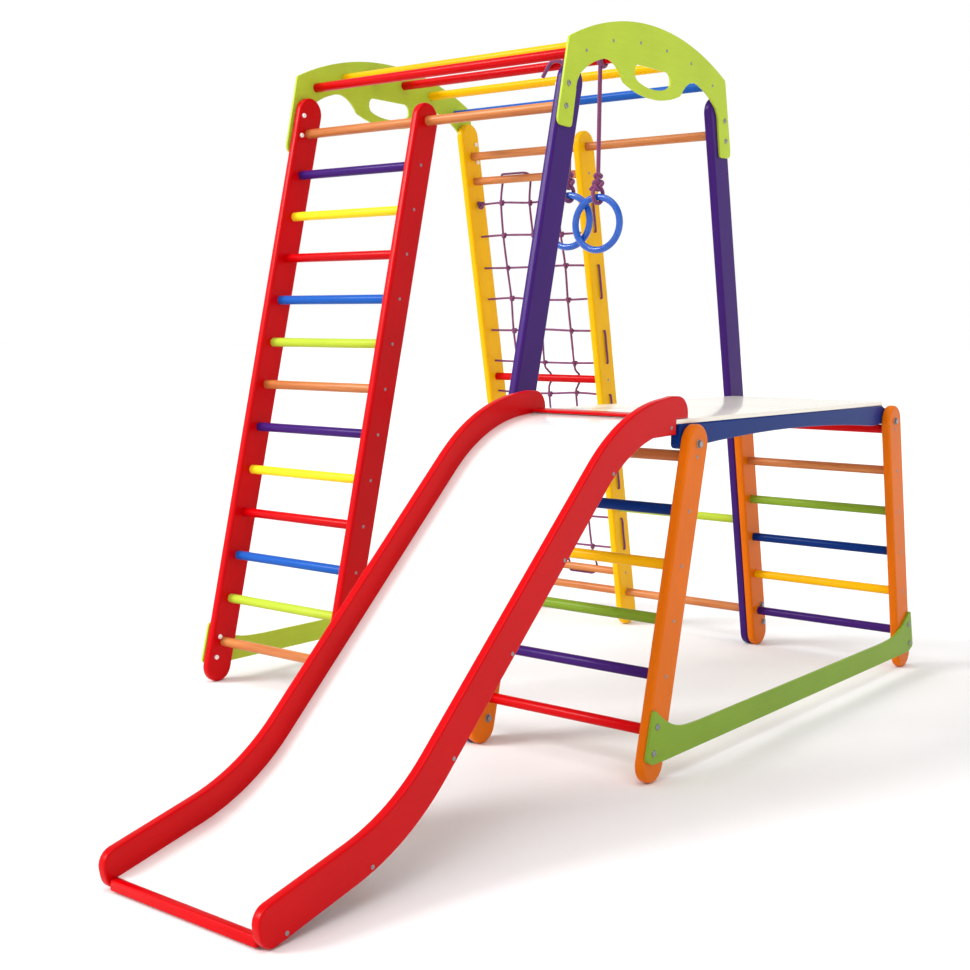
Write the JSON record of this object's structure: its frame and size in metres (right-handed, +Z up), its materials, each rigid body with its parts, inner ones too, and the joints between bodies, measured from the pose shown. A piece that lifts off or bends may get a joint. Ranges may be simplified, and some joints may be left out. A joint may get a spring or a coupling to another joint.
{
  "type": "toddler slide",
  "caption": "Painted wooden indoor climbing frame with a curved slide, platform, rung ladders, overhead bars, rope net and two hanging rings.",
  "frame": {"origin": "centre of the footprint on the floor, with the slide included", "axes": "+Z up, +Y towards the back of the frame (the slide runs out towards -Y), +X across the ladders towards the platform side"},
  "size_m": [1.179, 2.1554, 1.4634],
  "materials": {
    "red_paint": "satin paint",
    "purple_paint": "satin paint",
    "yellow_paint": "satin paint",
    "lemon_paint": "satin paint",
    "orange_paint": "satin paint",
    "lime_paint": "satin paint",
    "blue_paint": "satin paint",
    "navy_paint": "satin paint",
    "natural_wood": "clear satin varnish",
    "leaf_paint": "satin paint",
    "cream_board": "gloss lacquer",
    "white_board": "gloss white laminate",
    "blue_plastic": "gloss",
    "rope": "matte braided cord",
    "steel": "bright zinc",
    "white_caps": "gloss"
  },
  "bodies": {
    "frame": {"red_post_left": "red_paint", "red_post_right": "red_paint", "purple_post_front": "purple_paint", "purple_post_rear": "purple_paint", "yellow_post_left": "yellow_paint", "yellow_post_right": "yellow_paint", "orange_post_front_inner": "orange_paint", "orange_post_front_outer": "orange_paint", "orange_post_rear_inner": "orange_paint", "orange_post_rear_outer": "orange_paint", "arch_panel_left": "lime_paint", "arch_panel_right": "lime_paint", "arch_bars_red": "red_paint", "arch_bars_yellow": "yellow_paint", "arch_bars_blue": "blue_paint", "front_top_rail": "natural_wood", "front_bottom_rail": "natural_wood", "rear_top_rail": "natural_wood", "rear_bottom_rail": "natural_wood", "ladder_rungs_purple": "purple_paint", "ladder_rungs_yellow": "lemon_paint", "ladder_rungs_red": "red_paint", "ladder_rungs_blue": "blue_paint", "ladder_rungs_lime": "lime_paint", "ladder_rung_natural": "natural_wood", "net_rungs_natural": "natural_wood", "net_red_rung": "red_paint", "rear_lime_rung": "lime_paint", "side_rungs_natural": "natural_wood", "side_rungs_blue": "navy_paint", "side_rungs_yellow": "yellow_paint", "side_rungs_green": "leaf_paint", "side_rungs_purple": "purple_paint", "side_rungs_red": "red_paint", "stretcher_left": "lime_paint", "stretcher_right": "leaf_paint", "platform_top": "cream_board", "apron_inner": "navy_paint", "apron_outer": "navy_paint", "rope_hitches": "rope", "net_rows": "rope", "net_strands": "rope", "net_knots": "rope", "panel_bolts": "steel", "bolt_caps": "white_caps", "hex_bolts": "steel", "rung_screws": "steel"},
    "slide": {"slide_cheek_left": "red_paint", "slide_cheek_right": "red_paint", "slide_bed": "white_board", "slide_slats": "natural_wood", "slide_landing_board": "red_paint", "slide_foot_board": "red_paint", "slide_screws": "steel"},
    "rope_front": {"ring_rope_front": "rope", "ring_knot_front": "rope"},
    "rope_rear": {"ring_rope_rear": "rope", "ring_knot_rear": "rope"},
    "ring_front": {"ring_front": "blue_plastic"},
    "ring_rear": {"ring_rear": "blue_plastic"}
  },
  "joints": [
    {"name": "slide_lift", "type": "slide", "parent": "frame", "child": "slide", "axis": [0, 0, 1], "range_m": [0, 0.08]},
    {"name": "front_rope_swing", "type": "hinge", "parent": "frame", "child": "rope_front", "pos_m": [0.018, 0.51667, 1.3986], "axis": [1, 0, 0], "range_deg": [-45, 0]},
    {"name": "front_ring_tilt", "type": "hinge", "parent": "rope_front", "child": "ring_front", "pos_m": [0.018, 0.51667, 1.1084], "axis": [1, 0, 0], "range_deg": [-45, 0]},
    {"name": "rear_rope_swing", "type": "hinge", "parent": "frame", "child": "rope_rear", "pos_m": [-0.075, 0.53467, 1.3986], "axis": [1, 0, 0], "range_deg": [0, 45]},
    {"name": "rear_ring_tilt", "type": "hinge", "parent": "rope_rear", "child": "ring_rear", "pos_m": [-0.075, 0.53467, 1.1184], "axis": [1, 0, 0], "range_deg": [0, 45]}
  ]
}
